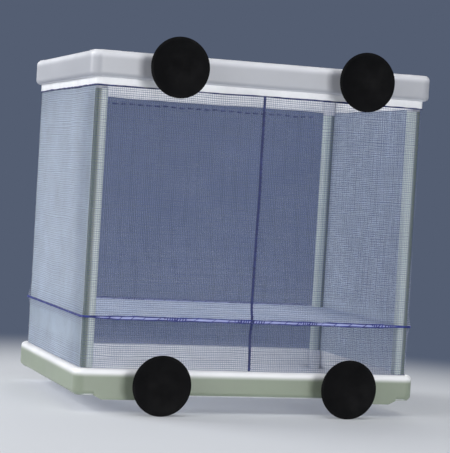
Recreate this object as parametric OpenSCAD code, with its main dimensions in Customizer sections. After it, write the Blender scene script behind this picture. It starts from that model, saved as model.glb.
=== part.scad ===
// Net breeding box: two open moulded frames on four corner posts, with a net bag
// stretched round the posts and four suction cups that hold the box to a glass wall.
// Millimetres. +Z is up, and the cups face -Y.

/* [Frames] */
// Outside width of both frames
frame_w = 165; // [120:1:220]
// Outside depth of both frames
frame_d = 120; // [90:1:180]
// Height from the underside of the bottom frame's wall to the top of the top frame
body_h = 154; // [110:1:220]
// Height of a frame's wall
wall_h = 12; // [11:0.5:18]
// Thickness of a frame's wall
wall_t = 2.6; // [2.4:0.1:3.4]
// Rounding of the two outer edges of a frame's wall
edge_r = 2.2; // [0.6:0.1:2.3]
// Thickness of the web that ties a socket to its corner
web_t = 2.2; // [1.2:0.1:3]
// How far the sockets of the top frame hang below its wall
socket_drop = 5; // [1:0.5:10]

/* [Feet] */
// Height of the feet under the long walls
foot_h = 2; // [1:0.1:3]
// Length of a foot at the wall
foot_len = 32; // [16:1:40]
// Distance from the frame's corner to a foot
foot_from_corner = 9; // [6:0.5:16]
// Length of the sloped run at each end of a foot
foot_slope = 4; // [2:0.5:6]
// Rounding of a foot's outer lower edge
foot_edge_r = 0.8; // [0.2:0.1:1.2]

/* [Posts] */
// Width of a square post
post_w = 5.2; // [4.6:0.1:8]
// Rounding of a post's upright edges
post_corner_r = 1.1; // [0.6:0.1:1.8]
// Diameter of the peg at each end of a post
peg_d = 3.3; // [2.6:0.1:3.5]
// Length of a peg
peg_len = 8; // [4:0.5:9]
// Radial clearance of a peg in its socket
peg_fit = 0.05; // [0.02:0.01:0.1]
// Clearance at the bottom of a socket
peg_end_gap = 0.5; // [0.2:0.1:1]

/* [Net] */
// Slot for the net between a frame's wall and the sockets
net_slot = 1; // [0.9:0.1:1.4]
// Thickness of the netting
net_t = 0.4; // [0.2:0.1:0.5]
// Number of openings across the back, in the plain grid that stands for the mesh
mesh_cells = 12; // [6:2:12]
// Width of the netting left between two openings
mesh_strand = 3.4; // [1:0.1:5]
// Height of the net floor above the underside of the bottom frame
floor_z = 35; // [20:1:70]
// Gap between the net floor and the netting and posts round it
floor_gap = 0.1; // [0.05:0.05:0.3]
// Height of the hem tape sewn along the top and the bottom of the net
hem_h = 5; // [3:0.5:6]
// Thickness of the hem tape
hem_t = 0.8; // [0.5:0.1:0.8]
// Distance from a frame's closed end to the hem tape
hem_from_end = 3.5; // [3.2:0.1:5]

/* [Seams] */
// How far the seam round the net floor stands out of the net
floor_seam_out = 1.5; // [0.8:0.1:2]
// Height of the seam round the net floor
floor_seam_h = 2; // [0.6:0.1:2.6]
// Width of the upright seam in the middle of the front
front_seam_w = 1.8; // [1:0.1:4]
// How far the upright seam stands out of the net
front_seam_out = 0.7; // [0.4:0.1:1.4]
// Gap between the two edges of netting that the upright seam joins
seam_split = 0.2; // [0.1:0.1:0.6]
// Gap left between a seam and what it runs along or up to
seam_gap = 0.1; // [0.05:0.05:0.3]

/* [Suction cups] */
// Diameter of a cup's rim
cup_d = 27.4; // [20:0.2:40]
// Distance from the frame's face to the rim of a cup
cup_reach = 10; // [8:0.5:16]
// Distance from the frame's end to a cup's axis
cup_from_corner = 37.5; // [26:0.5:44]
// Depth of the hollow in a cup's face
cup_hollow = 2.2; // [1:0.1:3]
// Width of the flat lip round the hollow
cup_lip = 1.2; // [0.8:0.1:2]
// Thickness of a cup at its rim
cup_rim_t = 0.8; // [0.5:0.1:1.5]
// Diameter of the collar that stands against the frame
collar_d = 9; // [8.6:0.1:12]
// Thickness of the collar
collar_t = 2; // [1:0.1:2.6]
// Diameter of the waist between collar and cup
waist_d = 7; // [5.5:0.1:8]
// Diameter of the neck that passes through the frame
neck_d = 5; // [4:0.1:5.6]
// Diameter of the bead that keeps the neck in its hole
bead_d = 7; // [6.4:0.1:8]
// Depth of the recess that takes the bead, in the inside of the wall
bead_seat = 1.3; // [1:0.1:1.6]
// Radial clearance of a neck in its hole
neck_fit = 0.05; // [0.02:0.01:0.1]
// Play of a cup along its axis
cup_play = 0.15; // [0.05:0.05:0.3]

/* [Hidden] */
$fn = 48;

// Where the frames stand: the lowest point of the cups or feet is at z = 0, and the
// cups in front and the back wall are equally far from the origin.
base_z = max(cup_d / 2 - wall_h / 2, foot_h);
top_z = base_z + body_h;
mid_y = cup_reach / 2;
front_y = mid_y - frame_d / 2;

// Distances inwards from a frame's outer face.
post_out = wall_t + net_slot;
post_mid = post_out + post_w / 2;
post_in = post_out + post_w;
corner_r = post_out + post_corner_r;
net_out = wall_t + (net_slot - net_t) / 2;
net_in = net_out + net_t;
hem_out = wall_t + (net_slot - hem_t) / 2;
floor_out = net_in + floor_gap;

// The web reaches a little past the far corner of its socket.
web_margin = 0.4;
web_r = post_in * sqrt(2) + web_margin;

socket_top_z = top_z - wall_h - socket_drop;
socket_bottom_z = base_z + wall_h;
bore_depth = peg_len + peg_end_gap;

hem_low_z = base_z + hem_from_end;
hem_high_z = top_z - hem_from_end - hem_h;
net_low_z = hem_low_z + hem_h;
net_high_z = hem_high_z;
floor_mid_z = base_z + floor_z;

// Where the grid of openings is divided: a strand runs round at the floor's height.
net_flat_x = frame_w / 2 - corner_r;
net_flat_y = frame_d / 2 - corner_r;
mesh_pitch = 2 * net_flat_x / mesh_cells;
mesh_cells_y = round(2 * net_flat_y / mesh_pitch);
mesh_rows_low = round((floor_mid_z - net_low_z) / mesh_pitch);
mesh_rows_high = round((net_high_z - floor_mid_z) / mesh_pitch);

cup_x = frame_w / 2 - cup_from_corner;
cup_low_z = base_z + wall_h / 2;
cup_high_z = top_z - wall_h / 2;
cup_r = cup_d / 2;
hollow_r = cup_r - cup_lip;
hollow_ball_r = (hollow_r * hollow_r + cup_hollow * cup_hollow) / (2 * cup_hollow);
hollow_angle = asin(hollow_r / hollow_ball_r);
neck_hole_d = neck_d + 2 * neck_fit;
bead_hole_d = bead_d + 6 * neck_fit;
cut = 1; // how far a cutting solid runs past what it cuts

// ---------------------------------------------------------------- shapes

// A rectangle with round corners, centred on the origin.
module rounded_rectangle(w, d, r) {
    square([w - 2 * r, d], center = true);
    square([w, d - 2 * r], center = true);
    for (sx = [-1, 1], sy = [-1, 1])
        translate([sx * (w / 2 - r), sy * (d / 2 - r)])
            circle(r = r);
}

// The plan of the box, taken in by a distance from the frames' outer face.
module plan(inset) {
    rounded_rectangle(frame_w - 2 * inset, frame_d - 2 * inset, corner_r - inset);
}

// A closed band that follows the plan, between two insets and two heights.
module band(outer, inner, low, high) {
    translate([0, mid_y, low])
        linear_extrude(high - low)
            difference() {
                plan(outer);
                plan(inner);
            }
}

// Puts its children, drawn for a corner at the origin that opens to +X +Y, in each corner.
module in_each_corner() {
    for (sx = [0, 1], sy = [0, 1])
        translate([(sx - 0.5) * frame_w, mid_y + (sy - 0.5) * frame_d, 0])
            mirror([sx, 0, 0])
                mirror([0, sy, 0])
                    children();
}

// Section of a frame's wall: the inner face on the Y axis, the outer edges rounded.
module wall_section() {
    intersection() {
        union() {
            square([wall_t - edge_r, wall_h]);
            translate([0, edge_r])
                square([wall_t, wall_h - 2 * edge_r]);
            for (z = [edge_r, wall_h - edge_r])
                translate([wall_t - edge_r, z])
                    circle(r = edge_r);
        }
        square([wall_t, wall_h]);
    }
}

// Section of a foot, from its lower face at y = 0 up into the wall.
module foot_section() {
    square([wall_t - foot_edge_r, foot_h + edge_r]);
    translate([0, foot_edge_r])
        square([wall_t, foot_h + edge_r - foot_edge_r]);
    translate([wall_t - foot_edge_r, foot_edge_r])
        circle(r = foot_edge_r);
}

// Draws a section out along Y, with its outer face at x = reach.
module run_along(length, reach) {
    translate([reach - wall_t, length / 2, 0])
        rotate([90, 0, 0])
            linear_extrude(length)
                children();
}

// The wall of a frame, all round, from z = 0 up.
module wall_ring() {
    translate([0, mid_y, 0]) {
        for (turn = [0, 180])
            rotate(turn)
                run_along(frame_d - 2 * corner_r, frame_w / 2)
                    wall_section();
        for (turn = [90, 270])
            rotate(turn)
                run_along(frame_w - 2 * corner_r, frame_d / 2)
                    wall_section();
        for (turn = [0, 1, 2, 3])
            translate([
                (turn == 0 || turn == 3 ? 1 : -1) * (frame_w / 2 - corner_r),
                (turn < 2 ? 1 : -1) * (frame_d / 2 - corner_r),
                0
            ])
                rotate(90 * turn)
                    rotate_extrude(angle = 90)
                        translate([corner_r - wall_t, 0])
                            wall_section();
    }
}

// Plan of a post or a socket, for a corner at the origin.
module post_plan() {
    translate([post_mid, post_mid])
        rounded_rectangle(post_w, post_w, post_corner_r);
}

// The corner webs of a frame, from z = 0 up.
module webs() {
    intersection() {
        translate([0, mid_y, 0])
            linear_extrude(web_t)
                plan(wall_t / 2);
        in_each_corner()
            cylinder(h = web_t, r = web_r);
    }
}

// Holes for the necks of two cups and the recesses for their beads, at z = 0.
module cup_holes() {
    for (side = [-1, 1])
        translate([side * cup_x, front_y, 0])
            rotate([-90, 0, 0]) {
                translate([0, 0, -cut])
                    cylinder(h = wall_t + 2 * cut, d = neck_hole_d);
                translate([0, 0, wall_t - bead_seat])
                    cylinder(h = bead_seat + cut, d = bead_hole_d);
            }
}

// The feet: stretches of the long walls that reach lower, with sloped ends.
module feet() {
    foot_mid = frame_w / 2 - foot_from_corner - foot_len / 2;
    for (side = [-1, 1], turn = [90, 270])
        translate([side * foot_mid, mid_y, -foot_h])
            intersection() {
                rotate(turn)
                    run_along(foot_len, frame_d / 2)
                        foot_section();
                translate([0, frame_d, 0])
                    rotate([90, 0, 0])
                        linear_extrude(2 * frame_d)
                            polygon([
                                [-foot_len / 2 + foot_slope, 0],
                                [foot_len / 2 - foot_slope, 0],
                                [foot_len / 2, foot_h],
                                [foot_len / 2, wall_h],
                                [-foot_len / 2, wall_h],
                                [-foot_len / 2, foot_h]
                            ]);
            }
}

// One post with its pegs. sx and sy are 0 for left and front, 1 for right and back.
module post(sx, sy) {
    color("gainsboro")
        translate([(sx - 0.5) * frame_w, mid_y + (sy - 0.5) * frame_d, 0])
            mirror([sx, 0, 0])
                mirror([0, sy, 0]) {
                    translate([0, 0, socket_bottom_z])
                        linear_extrude(socket_top_z - socket_bottom_z)
                            post_plan();
                    translate([post_mid, post_mid, socket_bottom_z - peg_len])
                        cylinder(h = socket_top_z - socket_bottom_z + 2 * peg_len, d = peg_d);
                }
}

// One row of square openings between two positions along X, in the XZ plane.
module opening_row(from, to, count, low, high) {
    pitch = (to - from) / count;
    for (i = [0:count - 1])
        translate([from + i * pitch + mesh_strand / 2, -net_out, low + mesh_strand / 2])
            cube([pitch - mesh_strand, 2 * net_out, high - low - mesh_strand]);
}

// All openings of a flat stretch of wall netting that lies in the XZ plane.
module wall_openings(from, to, count) {
    row_low = (floor_mid_z - net_low_z) / max(1, mesh_rows_low);
    row_high = (net_high_z - floor_mid_z) / max(1, mesh_rows_high);
    for (row = [0:1:mesh_rows_low - 1])
        opening_row(from, to, count, net_low_z + row * row_low, net_low_z + (row + 1) * row_low);
    for (row = [0:1:mesh_rows_high - 1])
        opening_row(from, to, count, floor_mid_z + row * row_high, floor_mid_z + (row + 1) * row_high);
}

// The netting of the walls as one band, cut down to the part inside a rectangle in plan.
module net_wall(x_from, x_to, y_from, y_to) {
    intersection() {
        band(net_out, net_in, net_low_z, net_high_z);
        translate([x_from, y_from, net_low_z - cut])
            cube([x_to - x_from, y_to - y_from, net_high_z - net_low_z + 2 * cut]);
    }
}

// A point on the curve that starts at a, ends at c and bends towards b.
function bend_point(a, b, c, t) = (1 - t) * (1 - t) * a + 2 * t * (1 - t) * b + t * t * c;

// Half section of a cup: Y is the cup's axis, y = 0 the frame's face, the rim faces up.
module cup_section() {
    hollow_steps = 12;
    back_steps = 10;
    bead_top = -(wall_t - bead_seat) - cup_play;
    waist_top = collar_t + cup_play + 0.6 * (collar_d - waist_d) / 2;
    polygon([
        for (i = [0:hollow_steps])
            let (a = hollow_angle * i / hollow_steps)
            [
                hollow_ball_r * sin(a),
                cup_reach - cup_hollow + hollow_ball_r * (1 - cos(a))
            ],
        for (i = [0:back_steps])
            bend_point(
                [cup_r, cup_reach - (i == 0 ? 0 : cup_rim_t)],
                [0.62 * cup_r, cup_reach - 2.6 * cup_rim_t],
                [waist_d / 2, waist_top],
                i / back_steps
            ),
        [collar_d / 2, collar_t + cup_play],
        [collar_d / 2, cup_play],
        [neck_d / 2, cup_play],
        [neck_d / 2, bead_top],
        [bead_d / 2, bead_top],
        [bead_d / 2, -wall_t + cup_play / 2],
        [0, -wall_t + cup_play / 2]
    ]);
}

// One suction cup. side is -1 for left and 1 for right.
module suction_cup(side, z) {
    color([0.06, 0.06, 0.07])
        translate([side * cup_x, front_y, z])
            rotate([90, 0, 0])
                rotate_extrude($fn = 96)
                    cup_section();
}

// ---------------------------------------------------------------- pieces

// The upper frame: a wall with round edges, four webs and four hanging sockets.
module top_frame() {
    color("white")
        difference() {
            union() {
                translate([0, 0, top_z - wall_h])
                    wall_ring();
                translate([0, 0, top_z - web_t])
                    webs();
                translate([0, 0, socket_top_z])
                    linear_extrude(top_z - socket_top_z)
                        in_each_corner()
                            post_plan();
            }
            translate([0, 0, cup_high_z])
                cup_holes();
            translate([0, 0, socket_top_z - cut])
                in_each_corner()
                    translate([post_mid, post_mid, 0])
                        cylinder(h = bore_depth + cut, d = peg_d + 2 * peg_fit);
        }
}

// The lower frame: the same wall and sockets the other way up, on four feet.
module bottom_frame() {
    color("white")
        difference() {
            union() {
                translate([0, 0, base_z]) {
                    wall_ring();
                    webs();
                    feet();
                }
                translate([0, 0, base_z])
                    linear_extrude(socket_bottom_z - base_z)
                        in_each_corner()
                            post_plan();
            }
            translate([0, 0, cup_low_z])
                cup_holes();
            translate([0, 0, socket_bottom_z - bore_depth])
                in_each_corner()
                    translate([post_mid, post_mid, 0])
                        cylinder(h = bore_depth + cut, d = peg_d + 2 * peg_fit);
        }
}

module post_front_left() { post(0, 0); }
module post_front_right() { post(1, 0); }
module post_back_left() { post(0, 1); }
module post_back_right() { post(1, 1); }

// The net's wall is one strip. Its ends meet in the middle of the front, and the
// two side stretches take the round corners.
net_far = frame_w + frame_d;
net_colour = [0.62, 0.68, 0.8, 0.6];
module net_front(side) {
    from = side < 0 ? -net_flat_x : seam_split / 2;
    to = side < 0 ? -seam_split / 2 : net_flat_x;
    color(net_colour)
        difference() {
            net_wall(from, to, -net_far, mid_y);
            translate([0, front_y + net_out, 0])
                wall_openings(from, to, mesh_cells / 2);
        }
}
module net_side(side) {
    from = side < 0 ? -net_far : net_flat_x;
    to = side < 0 ? -net_flat_x : net_far;
    color(net_colour)
        difference() {
            net_wall(from, to, -net_far, net_far);
            translate([side * (frame_w / 2 - net_out), mid_y, 0])
                rotate([0, 0, 90])
                    wall_openings(-net_flat_y, net_flat_y, mesh_cells_y);
        }
}
module net_front_left() { net_front(-1); }
module net_front_right() { net_front(1); }
module net_left() { net_side(-1); }
module net_right() { net_side(1); }
module net_back() {
    color(net_colour)
        difference() {
            net_wall(-net_flat_x, net_flat_x, mid_y, net_far);
            translate([0, front_y + frame_d - net_out, 0])
                wall_openings(-net_flat_x, net_flat_x, mesh_cells);
        }
}

// The net floor, with the same grid of openings, cut out at its corners where the
// posts pass. The rows of openings lie between the notches.
module net_floor() {
    notch = post_in + floor_gap;
    inner_x = frame_w / 2 - notch;
    inner_y = frame_d / 2 - notch;
    pitch_x = 2 * inner_x / mesh_cells;
    pitch_y = 2 * inner_y / mesh_cells_y;
    color([0.72, 0.77, 0.86, 0.7])
        translate([0, mid_y, floor_mid_z - net_t / 2])
            linear_extrude(net_t)
                difference() {
                    square([frame_w - 2 * floor_out, frame_d - 2 * floor_out], center = true);
                    for (sx = [-1, 1], sy = [-1, 1])
                        translate([sx * frame_w / 2, sy * frame_d / 2])
                            square(2 * notch, center = true);
                    for (i = [0:mesh_cells - 1], j = [0:mesh_cells_y - 1])
                        translate([
                            -inner_x + i * pitch_x + mesh_strand / 2,
                            -inner_y + j * pitch_y + mesh_strand / 2
                        ])
                            square([pitch_x - mesh_strand, pitch_y - mesh_strand]);
                }
}

// Hem tapes, in the slots between the frames' walls and the sockets.
module top_hem() {
    color("lavender")
        band(hem_out, hem_out + hem_t, hem_high_z, hem_high_z + hem_h);
}
module bottom_hem() {
    color("lavender")
        band(hem_out, hem_out + hem_t, hem_low_z, hem_low_z + hem_h);
}

// The seam round the net floor, outside the netting.
module floor_seam() {
    color("midnightblue")
        band(
            net_out - seam_gap - floor_seam_out,
            net_out - seam_gap,
            floor_mid_z - floor_seam_h / 2,
            floor_mid_z + floor_seam_h / 2
        );
}

// The upright seam, in two stretches with the floor's seam between them.
module front_seam() {
    seam_back_y = front_y + net_out - seam_gap;
    half_gap = floor_seam_h / 2 + seam_gap;
    stretches = [
        [socket_bottom_z + seam_gap, floor_mid_z - half_gap],
        [floor_mid_z + half_gap, top_z - wall_h - seam_gap]
    ];
    color("midnightblue")
        for (s = stretches)
            translate([-front_seam_w / 2, seam_back_y - front_seam_out, s[0]])
                cube([front_seam_w, front_seam_out, s[1] - s[0]]);
}

module cup_top_left() { suction_cup(-1, cup_high_z); }
module cup_top_right() { suction_cup(1, cup_high_z); }
module cup_bottom_left() { suction_cup(-1, cup_low_z); }
module cup_bottom_right() { suction_cup(1, cup_low_z); }

top_frame();
bottom_frame();
post_front_left();
post_front_right();
post_back_left();
post_back_right();
net_front_left();
net_front_right();
net_left();
net_right();
net_back();
net_floor();
top_hem();
bottom_hem();
front_seam();
floor_seam();
cup_top_left();
cup_top_right();
cup_bottom_left();
cup_bottom_right();
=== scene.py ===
import math

import bpy
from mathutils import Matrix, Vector, noise


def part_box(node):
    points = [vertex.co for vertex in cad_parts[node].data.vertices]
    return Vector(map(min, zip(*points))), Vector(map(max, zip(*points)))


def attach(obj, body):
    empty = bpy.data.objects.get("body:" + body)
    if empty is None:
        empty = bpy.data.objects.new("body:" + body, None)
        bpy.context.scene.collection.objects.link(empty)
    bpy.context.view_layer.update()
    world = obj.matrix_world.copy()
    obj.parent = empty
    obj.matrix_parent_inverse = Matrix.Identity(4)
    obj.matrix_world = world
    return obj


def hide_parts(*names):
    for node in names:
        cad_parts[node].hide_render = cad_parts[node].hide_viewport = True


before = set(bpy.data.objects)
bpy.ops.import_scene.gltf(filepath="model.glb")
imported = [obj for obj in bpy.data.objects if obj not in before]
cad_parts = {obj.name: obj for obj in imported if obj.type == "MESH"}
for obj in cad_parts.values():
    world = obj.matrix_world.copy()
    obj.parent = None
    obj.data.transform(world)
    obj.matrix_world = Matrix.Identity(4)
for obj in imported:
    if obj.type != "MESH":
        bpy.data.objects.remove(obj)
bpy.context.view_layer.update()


# ---- Camera: from the left of the front, nearly level with the upper third of the
# box and turned a little clockwise, as the box stands in the photograph. It is
# brought close, so that the box fills the frame.
eye = Vector((-0.2714, -0.8145, 0.1064))
eye_turn = math.radians(18.55)
eye_dip = math.radians(1.46)
eye_roll = math.radians(3.4)
image_width_px = 450
focal_px = 1749
scene = bpy.context.scene
bpy.ops.object.select_all(action="DESELECT")
bpy.ops.object.camera_add(location=eye, rotation=(math.radians(90) - eye_dip, 0, -eye_turn))
camera = bpy.context.object
camera.data.sensor_width = 36
camera.data.lens = focal_px / image_width_px * camera.data.sensor_width
camera.data.clip_start = 0.01
camera.rotation_euler.rotate_axis("Z", eye_roll)
scene.camera = camera


# ---- Studio: a pale floor whose tone is painted to fall off to a slate backdrop, as paper does
# away from the lamps, a painted falloff of light, with the same backdrop all round. Broad lamps on
# the left of the box give half of the light, and others in front, behind and above give the rest.
def linear_colour(hex_code):
    """The linear colour of an sRGB hex value, with an alpha of 1."""
    channels = [int(hex_code[i:i + 2], 16) / 255 for i in (1, 3, 5)]
    linear = [c / 12.92 if c <= 0.04045 else ((c + 0.055) / 1.055) ** 2.4 for c in channels]
    return (*linear, 1.0)


def add_node(tree, kind, settings=None, **links):
    """Adds a node, sets its properties, and sets or links its inputs. An input is named
    with underscores for spaces, or by its number, as in i0."""
    new = tree.nodes.new(kind)
    for key, value in (settings or {}).items():
        setattr(new, key, value)
    for key, value in links.items():
        socket = new.inputs[int(key[1:]) if key[1:].isdigit() else key.replace("_", " ")]
        if isinstance(value, bpy.types.NodeSocket):
            tree.links.new(value, socket)
        else:
            socket.default_value = value
    return new


def new_material(name):
    """An empty material, and its node tree."""
    material = bpy.data.materials.new(name)
    material.use_nodes = True
    material.node_tree.nodes.clear()
    return material, material.node_tree


def in_sight(tree):
    """1 for a ray from the camera, a glossy face or a see-through one, and 0 for other light."""
    rays = add_node(tree, "ShaderNodeLightPath")
    seen = add_node(tree, "ShaderNodeMath", {"operation": "MAXIMUM"},
                    i0=rays.outputs["Is Camera Ray"], i1=rays.outputs["Is Transmission Ray"])
    seen = add_node(tree, "ShaderNodeMath", {"operation": "MAXIMUM"},
                    i0=seen.outputs[0], i1=rays.outputs["Is Glossy Ray"])
    return seen.outputs[0]


scene.view_settings.view_transform = "Standard"
backdrop_hex, paper_hex = "#545E72", "#DCDFE4"
floor_radius = 5
pale_middle, pale_to, slate_from = (-0.03, -0.10, 0), 0.18, 0.42
bpy.ops.mesh.primitive_circle_add(vertices=96, radius=floor_radius, fill_type="NGON", location=(0, 0, 0))
floor = bpy.context.object
floor.name = "studio_floor"
floor_paint, tree = new_material("studio_floor_paper")
place = add_node(tree, "ShaderNodeTexCoord").outputs["Object"]
# The floor's tone fades from paper to backdrop away from the box: a painted falloff of light.
reach = add_node(tree, "ShaderNodeVectorMath", {"operation": "DISTANCE"}, i0=place, i1=pale_middle)
fade = add_node(tree, "ShaderNodeMapRange", {"interpolation_type": "SMOOTHSTEP"},
                Value=reach.outputs["Value"], From_Min=pale_to, From_Max=slate_from)
tone = add_node(tree, "ShaderNodeMix", {"data_type": "RGBA"}, Factor=fade.outputs[0])
tone.inputs[6].default_value = linear_colour(paper_hex)
tone.inputs[7].default_value = linear_colour(backdrop_hex)
# Part of the floor's tone is even, whatever light falls on it: a tenth of it beside the
# box, where it takes the shadows, and all of it far out, where it meets the backdrop.
even_near, even_far = 0.10, 1.0
share = add_node(tree, "ShaderNodeMapRange", Value=fade.outputs[0], To_Min=even_near, To_Max=even_far)
own = add_node(tree, "ShaderNodeMath", {"operation": "MULTIPLY"}, i0=in_sight(tree), i1=share.outputs[0])
matt = add_node(tree, "ShaderNodeBsdfDiffuse", Color=tone.outputs[2])
even = add_node(tree, "ShaderNodeEmission", Color=tone.outputs[2], Strength=1.0)
paper = add_node(tree, "ShaderNodeMixShader", i0=own.outputs[0], i1=matt.outputs[0], i2=even.outputs[0])
add_node(tree, "ShaderNodeOutputMaterial", Surface=paper.outputs[0])
floor.data.materials.append(floor_paint)

surround = bpy.data.worlds.new("studio_surround")
scene.world = surround
surround.use_nodes = True
tree = surround.node_tree
tree.nodes.clear()
ambient = add_node(tree, "ShaderNodeBackground", Color=linear_colour("#EEF1F6"), Strength=0.24)
backdrop = add_node(tree, "ShaderNodeBackground", Color=linear_colour(backdrop_hex), Strength=1.0)
around = add_node(tree, "ShaderNodeMixShader",
                  i0=in_sight(tree), i1=ambient.outputs[0], i2=backdrop.outputs[0])
add_node(tree, "ShaderNodeOutputWorld", Surface=around.outputs[0])
lamp_target = Vector((0, 0, 0.085))


def soft_lamp(name, place, size, level):
    """A square lamp aimed at the box. A level of 1 lights a facing surface to its own colour."""
    aim = lamp_target - Vector(place)
    turned = aim.to_track_quat("-Z", "Y").to_euler()
    bpy.ops.object.light_add(type="AREA", location=place, rotation=turned)
    lamp = bpy.context.object
    lamp.name = name
    lamp.visible_camera = False
    lamp.data.size = size
    lamp.data.energy = level * math.pi ** 2 * aim.length_squared


soft_lamp("lamp_back_left", (-1.15, 0.75, 0.60), 0.8, 0.64)
soft_lamp("lamp_back_right", (0.55, 1.20, 0.45), 0.8, 0.35)
soft_lamp("lamp_front_left", (-1.15, -0.45, 0.55), 0.8, 0.40)
soft_lamp("lamp_front", (0.20, -1.35, 0.19), 0.45, 0.46)
soft_lamp("lamp_above", (0.05, -0.50, 1.25), 0.8, 0.24)


# ---- Frames: two white polypropylene mouldings, satin from the mould. Below a white rim, where
# their round top edges catch the light, their outer faces have painted shade: grey on the upper frame,
# and greenish on the lower one, as a painted reflection of plants. The lower frame's white is painted
# lighter, as painted light on its inner faces, and the upper's greyer, as painted shade. Their
# round edges, webs, sockets and cup holes are in the frame's own solids.
MM = 0.001
top_frame_low, top_frame_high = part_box("top_frame")
frame_middle_y = (top_frame_low.y + top_frame_high.y) / 2
shade_fade, shade_side_fade = 20 * MM, 0.6 * MM
unshaded_rim, shaded_below_rim = 1.2 * MM, 4.0 * MM
cloud_size, grain_size, grain_depth = 18 * MM, 0.7 * MM, 0.05 * MM


def moulded_plastic(name, white_hex, shaded_hex, shade_from, side_from, rim_z, roughness):
    """Moulded white plastic, with slow cloudiness in its colour, fine grain and painted shade: below
    its rim, on outward faces the given distance or more from the box's middle, and past side_from."""
    material, tree = new_material(name)
    spot = add_node(tree, "ShaderNodeTexCoord")
    place = spot.outputs["Object"]
    from_middle = add_node(tree, "ShaderNodeVectorMath", {"operation": "SUBTRACT"},
                           i0=place, i1=(0, frame_middle_y, 0))
    flat = add_node(tree, "ShaderNodeVectorMath", {"operation": "MULTIPLY"},
                    i0=from_middle.outputs[0], i1=(1, 1, 0))
    outward = add_node(tree, "ShaderNodeVectorMath", {"operation": "DOT_PRODUCT"},
                       i0=spot.outputs["Normal"], i1=flat.outputs[0])
    outer = add_node(tree, "ShaderNodeMapRange", {"interpolation_type": "SMOOTHSTEP"},
                     Value=outward.outputs["Value"], From_Min=shade_from - shade_fade, From_Max=shade_from)
    axes = add_node(tree, "ShaderNodeSeparateXYZ", Vector=place)
    aside = add_node(tree, "ShaderNodeMath", {"operation": "ABSOLUTE"}, i0=axes.outputs["X"])
    side = add_node(tree, "ShaderNodeMapRange", {"interpolation_type": "SMOOTHSTEP"}, Value=aside.outputs[0],
                    From_Min=side_from - shade_side_fade, From_Max=side_from + shade_side_fade)
    outer = add_node(tree, "ShaderNodeMath", {"operation": "MAXIMUM"},
                     i0=outer.outputs[0], i1=side.outputs[0])
    low = add_node(tree, "ShaderNodeMapRange", {"interpolation_type": "SMOOTHSTEP"}, Value=axes.outputs["Z"],
                   From_Min=rim_z - shaded_below_rim, From_Max=rim_z - unshaded_rim, To_Min=1.0, To_Max=0.0)
    # Painted shade: outward faces below the rim are mixed towards the darker shaded colour.
    painted_shade = add_node(tree, "ShaderNodeMath", {"operation": "MULTIPLY"},
                    i0=outer.outputs[0], i1=low.outputs[0])
    base = add_node(tree, "ShaderNodeMix", {"data_type": "RGBA"}, Factor=painted_shade.outputs[0])
    base.inputs[6].default_value = linear_colour(white_hex)
    base.inputs[7].default_value = linear_colour(shaded_hex)
    cloud = add_node(tree, "ShaderNodeTexNoise", Vector=place, Scale=1 / cloud_size, Detail=3.0)
    shade = add_node(tree, "ShaderNodeMapRange", Value=cloud.outputs["Fac"],
                     From_Min=0.3, From_Max=0.7, To_Min=0.94, To_Max=1.02)
    tint = add_node(tree, "ShaderNodeVectorMath", {"operation": "SCALE"},
                    i0=base.outputs[2], Scale=shade.outputs[0])
    grain = add_node(tree, "ShaderNodeTexNoise", Vector=place, Scale=1 / grain_size, Detail=2.0)
    bump = add_node(tree, "ShaderNodeBump", Strength=0.12, Distance=grain_depth, Height=grain.outputs["Fac"])
    worn = add_node(tree, "ShaderNodeMapRange", Value=cloud.outputs["Fac"],
                    From_Min=0.3, From_Max=0.7, To_Min=roughness - 0.06, To_Max=roughness + 0.08)
    skin = add_node(tree, "ShaderNodeBsdfPrincipled", Base_Color=tint.outputs[0],
                    Roughness=worn.outputs[0], IOR=1.49, Normal=bump.outputs[0],
                    Subsurface_Weight=0.5, Subsurface_Radius=(1.0, 1.0, 1.0), Subsurface_Scale=3 * MM)
    add_node(tree, "ShaderNodeOutputMaterial", Surface=skin.outputs[0])
    return material


frame_shade_from = 50 * MM
# Each frame's white and the colour of its painted shade. The lower frame's white is painted lighter, and its
# shade is greenish, a painted reflection.
frame_colours = {"top_frame": ("#DFE0E5", "#B6B8BE"), "bottom_frame": ("#F4F5F8", "#8F9988")}
for name, (white_hex, shaded_hex) in frame_colours.items():
    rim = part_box(name)[1]
    frame_plastic = moulded_plastic("moulded_polypropylene_" + name, white_hex, shaded_hex,
                                    frame_shade_from, rim.x, rim.z, 0.42)
    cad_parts[name].material_slots[0].material = frame_plastic


# ---- Posts: four square rods of the same plastic, painted a little greyer as painted shade
# from the net round them, pushed into the sockets by the pegs on their ends. Their outer
# halves, where the net turns round them, have darker painted shade.
post_low, post_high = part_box("post_front_right")
post_shade_from = 78 * MM
post_shade_side = (post_low.x + post_high.x) / 2 + 0.5 * MM
no_unshaded_rim = 1.0
# The posts' colour, and the darker colour of their painted shade on the outer halves.
post_plastic = moulded_plastic("moulded_polypropylene_posts", "#D2DCD6", "#66736A",
                               post_shade_from, post_shade_side, no_unshaded_rim, 0.38)
for name in ("post_front_left", "post_front_right", "post_back_left", "post_back_right"):
    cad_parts[name].material_slots[0].material = post_plastic


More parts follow.
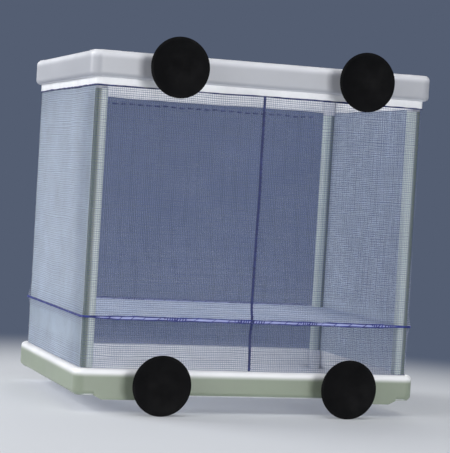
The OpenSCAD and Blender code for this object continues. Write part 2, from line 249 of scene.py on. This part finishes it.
# ---- Net wall: one strip of knitted nylon mesh, stretched round the posts from hem to hem.
# Its level threads are blue. Its upright ones are thin lighter ribs, deep on the short sides,
# where they are painted pale as a painted milky sheen. The real mesh is half as coarse, too fine to show
# here.
left_low, left_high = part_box("net_left")
net_inset = 0.2 * MM
net_x0, net_x1 = left_low.x + net_inset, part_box("net_right")[1].x - net_inset
net_y0, net_y1 = left_low.y + net_inset, left_high.y - net_inset
net_z0, net_z1 = left_low.z, left_high.z
net_x, net_y = (net_x0 + net_x1) / 2, (net_y0 + net_y1) / 2
net_corner_r = 1.6 * MM
floor_low, floor_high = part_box("net_floor")
floor_z = (floor_low.z + floor_high.z) / 2
level_pitch, level_w, level_t = 0.9 * MM, 0.14 * MM, 0.27 * MM
upright_pitch, upright_w, upright_t, pale_upright_t = 0.9 * MM, 0.07 * MM, 0.12 * MM, 0.25 * MM
upright_from_corner = 2 * MM
long_edge = 20 * MM


def only(piece):
    """Selects one piece alone, in object mode."""
    if bpy.context.mode != "OBJECT":
        bpy.ops.object.mode_set(mode="OBJECT")
    bpy.ops.object.select_all(action="DESELECT")
    piece.select_set(True)
    bpy.context.view_layer.objects.active = piece


def finish_with(piece, kind, **settings):
    """Adds a modifier to a piece, sets it and applies it."""
    only(piece)
    modifier = piece.modifiers.new(kind.lower(), kind)
    for key, value in settings.items():
        setattr(modifier, key, value)
    bpy.ops.object.modifier_apply(modifier=modifier.name)


def edges_where(piece, wanted):
    """Selects, in edit mode, the edges of a piece whose two ends pass a test."""
    bpy.ops.object.mode_set(mode="OBJECT")
    mesh = piece.data
    for part in (mesh.vertices, mesh.polygons):
        part.foreach_set("select", [False] * len(part))
    for edge in mesh.edges:
        edge.select = wanted(mesh.vertices[edge.vertices[0]].co, mesh.vertices[edge.vertices[1]].co)
    bpy.ops.object.mode_set(mode="EDIT")
    bpy.ops.mesh.select_mode(type="EDGE")


def band_round_net(name, low, high, thickness, cell=7 * MM, out=0.0, rows=1):
    """A closed band that follows the net's plan: a plane of that size with its corners
    rounded, its outline cut into short edges and drawn up, and given a thickness."""
    bpy.ops.object.select_all(action="DESELECT")
    bpy.ops.mesh.primitive_plane_add(size=1, location=(net_x, net_y, low))
    band = bpy.context.object
    band.name = name
    band.scale = (net_x1 - net_x0 + 2 * out, net_y1 - net_y0 + 2 * out, 1)
    bpy.ops.object.transform_apply(location=True, rotation=True, scale=True)
    bpy.ops.object.mode_set(mode="EDIT")
    bpy.ops.mesh.bevel(offset=net_corner_r + out, segments=3, affect="VERTICES")
    bpy.ops.mesh.delete(type="ONLY_FACE")
    edges_where(band, lambda a, b: abs(a.x - b.x) > long_edge)
    bpy.ops.mesh.subdivide(number_cuts=round((net_x1 - net_x0) / cell) - 1)
    edges_where(band, lambda a, b: abs(a.y - b.y) > long_edge)
    bpy.ops.mesh.subdivide(number_cuts=round((net_y1 - net_y0) / cell) - 1)
    bpy.ops.mesh.select_all(action="SELECT")
    bpy.ops.mesh.extrude_region_move(TRANSFORM_OT_translate={"value": (0, 0, high - low)})
    if rows > 1:
        edges_where(band, lambda a, b: abs(a.z - b.z) > (high - low) / 2)
        bpy.ops.mesh.subdivide(number_cuts=rows - 1)
    bpy.ops.mesh.select_all(action="SELECT")
    bpy.ops.mesh.normals_make_consistent(inside=False)
    bpy.ops.object.mode_set(mode="OBJECT")
    finish_with(band, "SOLIDIFY", thickness=thickness, offset=0)
    return band


def joined(name, parts):
    """Joins parts into one piece of that name."""
    bpy.ops.object.select_all(action="DESELECT")
    for part in parts:
        part.select_set(True)
    bpy.context.view_layer.objects.active = parts[0]
    bpy.ops.object.join()
    parts[0].name = name
    return parts[0]


def reshape(piece, rule):
    """Moves every vertex of a piece to where the rule puts it."""
    for vertex in piece.data.vertices:
        vertex.co = rule(vertex.co)


# The seam and the hems hold the net out over these heights. Between them it is drawn in,
# most in the middle of each side, and it flares at the corners of the seam.
held_by_seam, held_by_hem = 4 * MM, 9 * MM
draw_long_side, draw_short_side = 1.5 * MM, 1.2 * MM
draw_above, draw_below = 34 * MM, 16 * MM
flare_x, flare_y, flare_up, flare_height, flare_power = 0.9 * MM, 0.54 * MM, 0.6 * MM, 3.2 * MM, 7
# It is uneven as well: slow waves in and out and up and down, and each thread's own
# stray, which differs from that of its neighbour and from the opposite side's.
wave_in, wave_in_size = 0.40 * MM, 30 * MM
wave_up, wave_up_size = 0.45 * MM, 17 * MM
level_stray, level_stray_size = 0.40 * MM, 60 * MM
upright_stray, upright_stray_size = 0.25 * MM, 30 * MM
neighbour_size, side_size = 1.5 * MM, 9 * MM


def bell(distance, width):
    """1 at no distance, and less and less further out, on the scale of a width."""
    return math.exp(-(distance / width) ** 2)


def pulled(point):
    """Where a point of the taut net comes to lie. The seam holds it out at the floor's
    height. It is drawn in above that, and below it over a shorter height."""
    x, y, z = point
    across_x = max(0.0, 1 - ((x - net_x) / (net_x1 - net_x)) ** 2)
    across_y = max(0.0, 1 - ((y - net_y) / (net_y1 - net_y)) ** 2)
    long_side = across_x > across_y
    up = z - floor_z
    from_hem = min(1.0, (z - net_z0) / held_by_hem, (net_z1 - z) / held_by_hem)
    free = max(0.0, from_hem) * (1 - bell(up, held_by_seam))
    draw = draw_long_side if long_side else draw_short_side
    draw *= bell(up, draw_above if up > 0 else draw_below)
    draw += wave_in * noise.noise(Vector((x, y, z)) / wave_in_size)
    inward = max(across_x, across_y) * free * draw
    if long_side:
        y += inward if y < net_y else -inward
    else:
        x += inward if x < net_x else -inward
    flare = bell(up - flare_up, flare_height)
    x += flare_x * flare * ((x - net_x) / (net_x1 - net_x)) ** flare_power
    y += flare_y * flare * ((y - net_y) / (net_y1 - net_y)) ** flare_power
    z += wave_up * free * noise.noise(Vector((x, y, z)) / wave_up_size + Vector((7, 3, 5)))
    z += level_stray * free * noise.noise(
        Vector((x / level_stray_size, y / level_stray_size, z / neighbour_size)))
    if long_side:
        x += upright_stray * free * noise.noise(
            Vector((x / neighbour_size, y / side_size, z / upright_stray_size)))
    else:
        y += upright_stray * free * noise.noise(
            Vector((x / side_size, y / neighbour_size, z / upright_stray_size)))
    return Vector((x, y, z))


def thread_row(name, size, rotation, cuts, thickness, pitch, across, breadth, middle):
    """A row of straight threads about a middle, as many as the breadth has room for: one
    narrow strip, cut across and thickened, then arrayed."""
    count = int(breadth / pitch)
    step = Vector(across) * pitch
    bpy.ops.object.select_all(action="DESELECT")
    bpy.ops.mesh.primitive_plane_add(size=1, location=(0, 0, 0), rotation=rotation)
    row = bpy.context.object
    row.name = name
    row.scale = (*size, 1)
    bpy.ops.object.transform_apply(location=False, rotation=True, scale=True)
    edges_where(row, lambda a, b: (a - b).length > long_edge)
    bpy.ops.mesh.subdivide(number_cuts=cuts)
    bpy.ops.object.mode_set(mode="OBJECT")
    finish_with(row, "SOLIDIFY", thickness=thickness, offset=0)
    finish_with(row, "ARRAY", count=count, use_relative_offset=False,
                use_constant_offset=True, constant_offset_displace=step)
    row.location = Vector(middle) - step * (count - 1) / 2
    bpy.ops.object.transform_apply(location=True, rotation=False, scale=False)
    return row


yarn_cloud_size = 14 * MM


def nylon_yarn(name, base_hex, sheen_hex, sheen):
    """Nylon yarn, knitted into mesh or woven into tape: slightly translucent, uneven in
    colour from place to place, and the paler and milkier the more its sheen catches."""
    material, tree = new_material(name)
    place = add_node(tree, "ShaderNodeTexCoord").outputs["Object"]
    cloud = add_node(tree, "ShaderNodeTexNoise", Vector=place,
                     Scale=1 / yarn_cloud_size, Detail=5.0, Roughness=0.6)
    shade = add_node(tree, "ShaderNodeMapRange", Value=cloud.outputs["Fac"],
                     From_Min=0.3, From_Max=0.7, To_Min=0.90, To_Max=1.08)
    tint = add_node(tree, "ShaderNodeVectorMath", {"operation": "SCALE"},
                    i0=linear_colour(base_hex)[:3], Scale=shade.outputs[0])
    skin = add_node(tree, "ShaderNodeBsdfPrincipled", Base_Color=tint.outputs[0], Roughness=0.5, IOR=1.53,
                    Subsurface_Weight=0.2, Subsurface_Radius=(1.0, 1.0, 1.0), Subsurface_Scale=1 * MM,
                    Sheen_Weight=sheen, Sheen_Roughness=0.35, Sheen_Tint=linear_colour(sheen_hex))
    add_node(tree, "ShaderNodeOutputMaterial", Surface=skin.outputs[0])
    return material


level_yarn = nylon_yarn("knitted_nylon_blue", "#384A7E", "#F4F8FF", 1.0)
upright_yarn = nylon_yarn("knitted_nylon_light_blue", "#6676A4", "#F4F8FF", 1.0)
# The short sides' ribs are painted paler than the long sides' ones: a painted milky sheen.
milky_sheen_yarn = nylon_yarn("knitted_nylon_painted_sheen", "#CFDEED", "#F4F8FF", 1.0)
rings = band_round_net("level_threads", net_z0, net_z0 + level_w, level_t)
ring_count = int((net_z1 - net_z0 - level_w) / level_pitch) + 1
finish_with(rings, "ARRAY", count=ring_count, use_relative_offset=False,
            use_constant_offset=True, constant_offset_displace=(0, 0, level_pitch))
rings.data.materials.append(level_yarn)
net_middle_z = (net_z0 + net_z1) / 2
upright_size = (upright_w, net_z1 - net_z0)
long_breadth = net_x1 - net_x0 - 2 * upright_from_corner
short_breadth = net_y1 - net_y0 - 2 * upright_from_corner
wall_threads = [rings]
for side, y in (("front", net_y0), ("back", net_y1)):
    row = thread_row("upright_threads_" + side, upright_size, rotation=(math.radians(90), 0, 0), cuts=11,
                     thickness=upright_t, pitch=upright_pitch, across=(1, 0, 0),
                     breadth=long_breadth, middle=(net_x, y, net_middle_z))
    row.data.materials.append(upright_yarn)
    wall_threads.append(row)
for side, x in (("left", net_x0), ("right", net_x1)):
    row = thread_row("upright_threads_" + side, upright_size,
                     rotation=(math.radians(90), 0, math.radians(90)), cuts=11,
                     thickness=pale_upright_t, pitch=upright_pitch, across=(0, 1, 0),
                     breadth=short_breadth, middle=(x, net_y, net_middle_z))
    row.data.materials.append(milky_sheen_yarn)
    wall_threads.append(row)
net_wall = joined("net_wall_threads", wall_threads)
reshape(net_wall, pulled)
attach(net_wall, "box")
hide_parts("net_front_left", "net_front_right", "net_left", "net_right", "net_back")


# ---- Net floor: a panel of the same mesh sewn in at the seam, notched round the
# posts. It hangs slack, lowest in the middle.
left_post_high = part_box("post_front_left")[1]
notch_clear = 0.3 * MM
notch_x = left_post_high.x - floor_low.x + notch_clear
notch_y = left_post_high.y - floor_low.y + notch_clear
floor_half_x, floor_half_y = (floor_high.x - floor_low.x) / 2, (floor_high.y - floor_low.y) / 2
floor_short_w, floor_short_t = 0.12 * MM, 0.20 * MM
floor_sag, floor_ripple, ripple_size = 3 * MM, 0.9 * MM, 24 * MM
edge_draw_x, edge_draw_y = 0.010, 0.022


def slack(point):
    """Where a point of the flat floor panel comes to lie: its middle sags and ripples, and
    its edges draw in between their corners by a share of the panel's half size."""
    u, v = (point.x - net_x) / floor_half_x, (point.y - net_y) / floor_half_y
    inside = max(0.0, 1 - u * u) * max(0.0, 1 - v * v)
    ripple = floor_ripple * noise.noise(Vector((point.x, point.y, 0)) / ripple_size) * inside ** 0.5
    x = net_x + (point.x - net_x) * (1 - edge_draw_x * (1 - v * v) * u * u)
    y = net_y + (point.y - net_y) * (1 - edge_draw_y * (1 - u * u) * v * v)
    return Vector((x, y, point.z - floor_sag * inside + ripple))


def floor_row(name, along_x, pitch, width, thickness):
    """Level threads of the floor panel in one direction. Those that would run into a
    post's notch end at it."""
    length, breadth, turn, across = 2 * floor_half_x, 2 * floor_half_y, 0, (0, 1, 0)
    if not along_x:
        length, breadth, turn, across = breadth, length, math.radians(90), (1, 0, 0)
    row = thread_row(name, (length, width), rotation=(0, 0, turn), cuts=15, thickness=thickness,
                     pitch=pitch, across=across, breadth=breadth - width, middle=(net_x, net_y, floor_z))
    for vertex in row.data.vertices:
        in_x = floor_half_x - abs(vertex.co.x - net_x)
        in_y = floor_half_y - abs(vertex.co.y - net_y)
        if in_x < notch_x and in_y < notch_y and along_x:
            vertex.co.x = net_x + math.copysign(floor_half_x - notch_x, vertex.co.x - net_x)
        elif in_x < notch_x and in_y < notch_y:
            vertex.co.y = net_y + math.copysign(floor_half_y - notch_y, vertex.co.y - net_y)
    return row


net_bottom = joined("net_floor_threads", [
    floor_row("floor_threads_long", True, level_pitch, level_w, level_t),
    floor_row("floor_threads_short", False, upright_pitch, floor_short_w, floor_short_t),
])
reshape(net_bottom, slack)
# The floor's yarn is painted paler than the wall's: painted light, where the floor is lit from above and
# seen along the cloth.
net_bottom.data.materials.append(nylon_yarn("knitted_nylon_floor_painted_light", "#A8B7D1", "#F4F8FF", 1.0))
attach(net_bottom, "box")
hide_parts("net_floor")


# ---- Hems: white woven tape folded over the net's two ends. It lies in the slots of the
# frames, between the wall and the sockets, and the upper one shows below the top frame.
hem_tape = nylon_yarn("woven_hem_tape", "#F8F9FB", "#F4F8FF", 0.2)
tape_t, tape_round, fine_cell = 0.7 * MM, 0.2 * MM, 4 * MM
# The top frame's sockets hang below its wall by socket_drop, and the tape by tape_shown.
socket_drop = 5 * MM
tape_shown, tape_over_net = 3.6 * MM, 3.2 * MM
tape_z = top_frame_low.z + socket_drop - tape_shown
for name, node in (("top_hem_tape", "top_hem"), ("bottom_hem_tape", "bottom_hem")):
    hem_low, hem_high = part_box(node)
    low, high = (tape_z, hem_high.z) if node == "top_hem" else (hem_low.z, hem_high.z + tape_over_net)
    hem = band_round_net(name, low, high, tape_t, cell=fine_cell, rows=4)
    finish_with(hem, "BEVEL", width=tape_round, segments=2, limit_method="ANGLE")
    bpy.ops.object.shade_smooth_by_angle(angle=math.radians(40))
    reshape(hem, pulled)
    hem.data.materials.clear()
    hem.data.materials.append(hem_tape)
    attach(hem, "box")
    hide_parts(node)


# ---- Floor seam: the floor's edge and the wall are folded together, so that a pale
# fold stands out of the wall all round. It is overlocked in dark blue polyester: a
# thread along each of its edges, and a whip stitch wound round it.
seam_out = net_x0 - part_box("floor_seam")[0].x
fold_half_h, fold_t, fold_round, fold_inset = 0.75 * MM, 0.5 * MM, 0.18 * MM, 0.75 * MM
fold_turns_from, fold_turned_by, short_side_share = 2 * MM, 16 * MM, 0.34
half_front = (net_x1 - net_x0) / 2 - net_corner_r
half_side = (net_y1 - net_y0) / 2 - net_corner_r
corner_arc = math.pi / 2 * net_corner_r
seam_length = 4 * (half_front + half_side + corner_arc)


def on_plan(s, out):
    """The point that lies s metres along the net's plan, counted from the middle of the
    front, and out metres outside it. Each side of the plan has a corner's arc at its end,
    so the point is placed as if on the front, and then turned by quarters to its side."""
    run = (s + half_front) % seam_length
    halves = (half_front, half_side, half_front, half_side)
    for quarters, half in enumerate(halves):
        if run <= 2 * half + corner_arc or quarters == 3:
            break
        run -= 2 * half + corner_arc
    depth = halves[quarters - 1]
    if run <= 2 * half:
        x, y = run - half, -depth - net_corner_r - out
    else:
        angle = (run - 2 * half) / net_corner_r
        x = half + (net_corner_r + out) * math.sin(angle)
        y = -depth - (net_corner_r + out) * math.cos(angle)
    for _ in range(quarters):
        x, y = -y, x
    return net_x + x, net_y + y


def seam_height(x):
    """How high the fold is at x, as a share: full on the front and back, where it is turned
    down on the wall, and a third of that on the two short sides, where it stands straight out."""
    from_side = (net_x1 - net_x0) / 2 - abs(x - net_x)
    share = (from_side - fold_turns_from) / (fold_turned_by - fold_turns_from)
    share = min(1.0, max(0.0, share))
    return short_side_share + (1 - short_side_share) * share * share * (3 - 2 * share)


thread_swell, thread_swell_size = 0.5, 3 * MM


def sewn_thread(name, points, radius, closed=False):
    """A thread along a line of points, a little thicker here and thinner there, as a mesh."""
    curve = bpy.data.curves.new(name, "CURVE")
    curve.dimensions = "3D"
    curve.bevel_depth = radius
    curve.bevel_resolution = 1
    curve.use_fill_caps = True
    line = curve.splines.new("POLY")
    line.points.add(len(points) - 1)
    for spot, point in zip(line.points, points):
        spot.co = (*point, 1)
        spot.radius = 1 + thread_swell * noise.noise(Vector(point) / thread_swell_size)
    line.use_cyclic_u = closed
    thread = bpy.data.objects.new(name, curve)
    scene.collection.objects.link(thread)
    only(thread)
    bpy.ops.object.convert(target="MESH")
    bpy.ops.object.shade_smooth()
    return thread


spun_cloud_size = 2.5 * MM


def polyester_thread(name, base_hex):
    """Spun polyester sewing thread: matt, and lighter and darker along its length."""
    material, tree = new_material(name)
    place = add_node(tree, "ShaderNodeTexCoord").outputs["Object"]
    cloud = add_node(tree, "ShaderNodeTexNoise", Vector=place, Scale=1 / spun_cloud_size, Detail=3.0)
    shade = add_node(tree, "ShaderNodeMapRange", Value=cloud.outputs["Fac"],
                     From_Min=0.3, From_Max=0.7, To_Min=0.7, To_Max=1.4)
    tint = add_node(tree, "ShaderNodeVectorMath", {"operation": "SCALE"},
                    i0=linear_colour(base_hex)[:3], Scale=shade.outputs[0])
    skin = add_node(tree, "ShaderNodeBsdfPrincipled", Base_Color=tint.outputs[0],
                    Roughness=0.6, IOR=1.5, Sheen_Weight=0.05, Sheen_Roughness=0.4)
    add_node(tree, "ShaderNodeOutputMaterial", Surface=skin.outputs[0])
    return material


blue_thread = polyester_thread("blue_polyester_thread", "#26327C")
fold = band_round_net("floor_seam_fold", floor_z - fold_half_h, floor_z + fold_half_h, fold_t,
                      cell=fine_cell, out=seam_out - fold_inset, rows=3)
finish_with(fold, "BEVEL", width=fold_round, segments=2, limit_method="ANGLE")
reshape(fold, lambda p: Vector((p.x, p.y, floor_z + (p.z - floor_z) * seam_height(p.x))))
fold.data.materials.clear()
fold.data.materials.append(nylon_yarn("folded_nylon_net", "#A0A8D8", "#FFFFFF", 0.1))


def seam_point(s, out, level):
    """The point that lies s metres along the seam, out metres outside the net and level
    metres above the floor, or less than that where the fold hasn't its full height."""
    x, y = on_plan(s, out)
    return x, y, floor_z + level * seam_height(x)


whip_in, whip_reach, whip_over = 0.72 * MM, 0.48 * MM, 0.05 * MM
points_per_turn = 8
turn_stray, turn_stray_rate, start_seed = 0.9, 0.031, 50


def whip_stitch(name, start, length, pitch, radius):
    """A thread wound round the fold along part of the seam, its turns unevenly spaced."""
    turns = max(2, round(length / pitch))
    points = []
    for i in range(points_per_turn * turns):
        angle = 2 * math.pi * i / points_per_turn
        stray = turn_stray * noise.noise((i * turn_stray_rate, start * start_seed, 3))
        turn = i / points_per_turn + stray
        points.append(seam_point(start + turn * length / turns,
                                 seam_out - whip_in + whip_reach * math.cos(angle),
                                 (fold_half_h + whip_over) * math.sin(angle)))
    return sewn_thread(name, points, radius)


round_points = 400
edge_thread_r = 0.27 * MM
edge_in, edge_in_stray, edge_in_rate = 0.55 * MM, 0.15 * MM, 0.31
edge_share, edge_share_stray, edge_share_rate, edge_seed = 0.90, 0.30, 0.23, 900
whip_pitch, whip_r = 7 * MM, 0.14 * MM
double_pitch, double_r = 1.2 * MM, 0.24 * MM
seam_threads = []
for name, level in (("floor_seam_top_thread", fold_half_h), ("floor_seam_bottom_thread", -fold_half_h)):
    points = []
    for i in range(round_points):
        inward = edge_in + edge_in_stray * noise.noise((i * edge_in_rate, level, 0))
        share = edge_share + edge_share_stray * noise.noise((i * edge_share_rate, 5, level * edge_seed))
        points.append(seam_point(i * seam_length / round_points, seam_out - inward, level * share))
    seam_threads.append(sewn_thread(name, points, edge_thread_r, closed=True))
seam_threads.append(whip_stitch("floor_seam_whip_stitch", 0, seam_length, whip_pitch, whip_r))
# The stitches lie double in places, where one thread ran out and the next was begun. Each
# place is its start, counted from the middle of the front, and its length, in millimetres.
double_stitches = ((-8, 15), (-42, 11), (24, 9), (60, 10), (150, 12), (230, 14), (290, 12))
for start, length in double_stitches:
    seam_threads.append(whip_stitch("floor_seam_double_stitch", start * MM, length * MM,
                                    double_pitch, double_r))
floor_seam = joined("floor_seam_threads", seam_threads)
floor_seam.data.materials.append(blue_thread)
for piece, slot in ((fold, "netting"), (floor_seam, "seam_thread")):
    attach(piece, "box")
    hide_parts("floor_seam")


# ---- Front seam: the net strip's two ends overlap in the middle of the front, under a
# flat braid of navy polyester thread with a zigzag stitch over it.
front_low, front_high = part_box("front_seam")
front_x, front_y = (front_low.x + front_high.x) / 2, (front_low.y + front_high.y) / 2
under_tape = 0.3 * MM
seam_z0, seam_z1 = front_low.z, tape_z + under_tape
braid_inset, braid_t, braid_round = 0.35 * MM, 0.5 * MM, 0.12 * MM
braid_half_w = (front_high.x - front_low.x) / 2 - braid_inset
zigzag_pitch, zigzag_r, zigzag_end = 1.0 * MM, 0.20 * MM, 0.4 * MM
zigzag_half_w, zigzag_y = braid_half_w + 0.1 * MM, front_y - 0.30 * MM
bpy.ops.object.select_all(action="DESELECT")
bpy.ops.mesh.primitive_plane_add(size=1, location=(front_x, front_y, (seam_z0 + seam_z1) / 2),
                                 rotation=(math.radians(90), 0, 0))
braid = bpy.context.object
braid.name = "front_seam_braid"
braid.scale = (2 * braid_half_w, seam_z1 - seam_z0, 1)
bpy.ops.object.transform_apply(location=True, rotation=True, scale=True)
edges_where(braid, lambda a, b: abs(a.z - b.z) > long_edge)
bpy.ops.mesh.subdivide(number_cuts=60)
bpy.ops.object.mode_set(mode="OBJECT")
finish_with(braid, "SOLIDIFY", thickness=braid_t, offset=0)
finish_with(braid, "BEVEL", width=braid_round, segments=2, limit_method="ANGLE")
steps = int((seam_z1 - seam_z0) / zigzag_pitch)
step_z = (seam_z1 - seam_z0 - 2 * zigzag_end) / steps
zigzag = sewn_thread("front_seam_zigzag", [
    (front_x + (zigzag_half_w if i % 2 else -zigzag_half_w), zigzag_y, seam_z0 + zigzag_end + i * step_z)
    for i in range(steps + 1)
], zigzag_r)
front_seam = joined("front_seam_threads", [braid, zigzag])
seam_wander, seam_wander_size = 0.35 * MM, 22 * MM


def pulled_with_front(point):
    """The seam goes with the net that it is sewn to, and wanders a little from side to side."""
    moved = pulled(Vector((front_x, net_y0, point.z)))
    wander = seam_wander * noise.noise(Vector((0, 0, point.z / seam_wander_size)))
    return Vector((point.x + wander, point.y + moved.y - net_y0, point.z))


reshape(front_seam, pulled_with_front)
navy_thread = polyester_thread("navy_polyester_thread", "#232D62")
front_seam.data.materials.append(navy_thread)
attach(front_seam, "box")
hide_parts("front_seam")


# ---- Hem stitches: a close row of the navy thread runs all round along the lower edge of
# the top tape, as a thin dark line. On the back a second row catches the net's end down,
# and shows inside the box as dashes under the frame.
hem_thread_out, hem_thread_up, hem_thread_r = 0.36 * MM, 0.10 * MM, 0.34 * MM
hem_thread = sewn_thread("top_hem_thread", [
    (*on_plan(i * seam_length / round_points, hem_thread_out), tape_z + hem_thread_up)
    for i in range(round_points)
], hem_thread_r, closed=True)
reshape(hem_thread, pulled)
dash_below_frame, dash_from_corner = 1.5 * MM, 9 * MM
dash_z = top_frame_low.z - dash_below_frame
dash_pitch, dash_r = 4.5 * MM, 0.40 * MM
dash_count = int((net_x1 - net_x0 - 2 * dash_from_corner) / dash_pitch)
first_x = net_x - (dash_count - 1) * dash_pitch / 2
# One dash in plan, in millimetres. It lies inside the net, and its ends pass out through it.
dash_line = ((-1.25, 0.15), (-0.9, -0.25), (0, -0.38), (0.9, -0.25), (1.25, 0.15))
dashes = sewn_thread("back_hem_stitches", [
    (first_x + along * MM, net_y1 + depth * MM, dash_z) for along, depth in dash_line
], dash_r)
finish_with(dashes, "ARRAY", count=dash_count, use_relative_offset=False,
            use_constant_offset=True, constant_offset_displace=(dash_pitch, 0, 0))
dash_stray, dash_stray_size = 0.5 * MM, 9 * MM


def pulled_with_back(point):
    """The dashes go with the back of the net, and stray a little from their line."""
    moved = pulled(Vector((point.x, net_y1, point.z)))
    stray = dash_stray * noise.noise(Vector((point.x / dash_stray_size, 2, 7)))
    return Vector((point.x, point.y + moved.y - net_y1, point.z + stray))


reshape(dashes, pulled_with_back)
stitches = joined("hem_stitches", [dashes, hem_thread])
stitches.data.materials.append(navy_thread)
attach(stitches, "box")


# ---- Suction cups: four cups of moulded black rubber, which hold the box to an aquarium's
# glass. Each has a neck that is pushed through a hole in a frame and can turn there.
bloom_size, rubber_grain_size, rubber_grain_depth = 6 * MM, 0.5 * MM, 0.03 * MM


def black_rubber(name):
    """Moulded black rubber: dull, a little more so in patches, with a fine grain."""
    material, tree = new_material(name)
    place = add_node(tree, "ShaderNodeTexCoord").outputs["Object"]
    bloom = add_node(tree, "ShaderNodeTexNoise", Vector=place, Scale=1 / bloom_size, Detail=4.0)
    dull = add_node(tree, "ShaderNodeMapRange", Value=bloom.outputs["Fac"],
                    From_Min=0.3, From_Max=0.7, To_Min=0.6, To_Max=0.8)
    grain = add_node(tree, "ShaderNodeTexNoise", Vector=place, Scale=1 / rubber_grain_size, Detail=2.0)
    bump = add_node(tree, "ShaderNodeBump", Strength=0.1, Distance=rubber_grain_depth,
                    Height=grain.outputs["Fac"])
    skin = add_node(tree, "ShaderNodeBsdfPrincipled", Base_Color=linear_colour("#040405"),
                    Roughness=dull.outputs[0], IOR=1.52, Specular_IOR_Level=0.12, Normal=bump.outputs[0])
    add_node(tree, "ShaderNodeOutputMaterial", Surface=skin.outputs[0])
    return material


rubber = black_rubber("moulded_black_rubber")
for name in ("cup_top_left", "cup_top_right", "cup_bottom_left", "cup_bottom_right"):
    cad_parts[name].material_slots[0].material = rubber
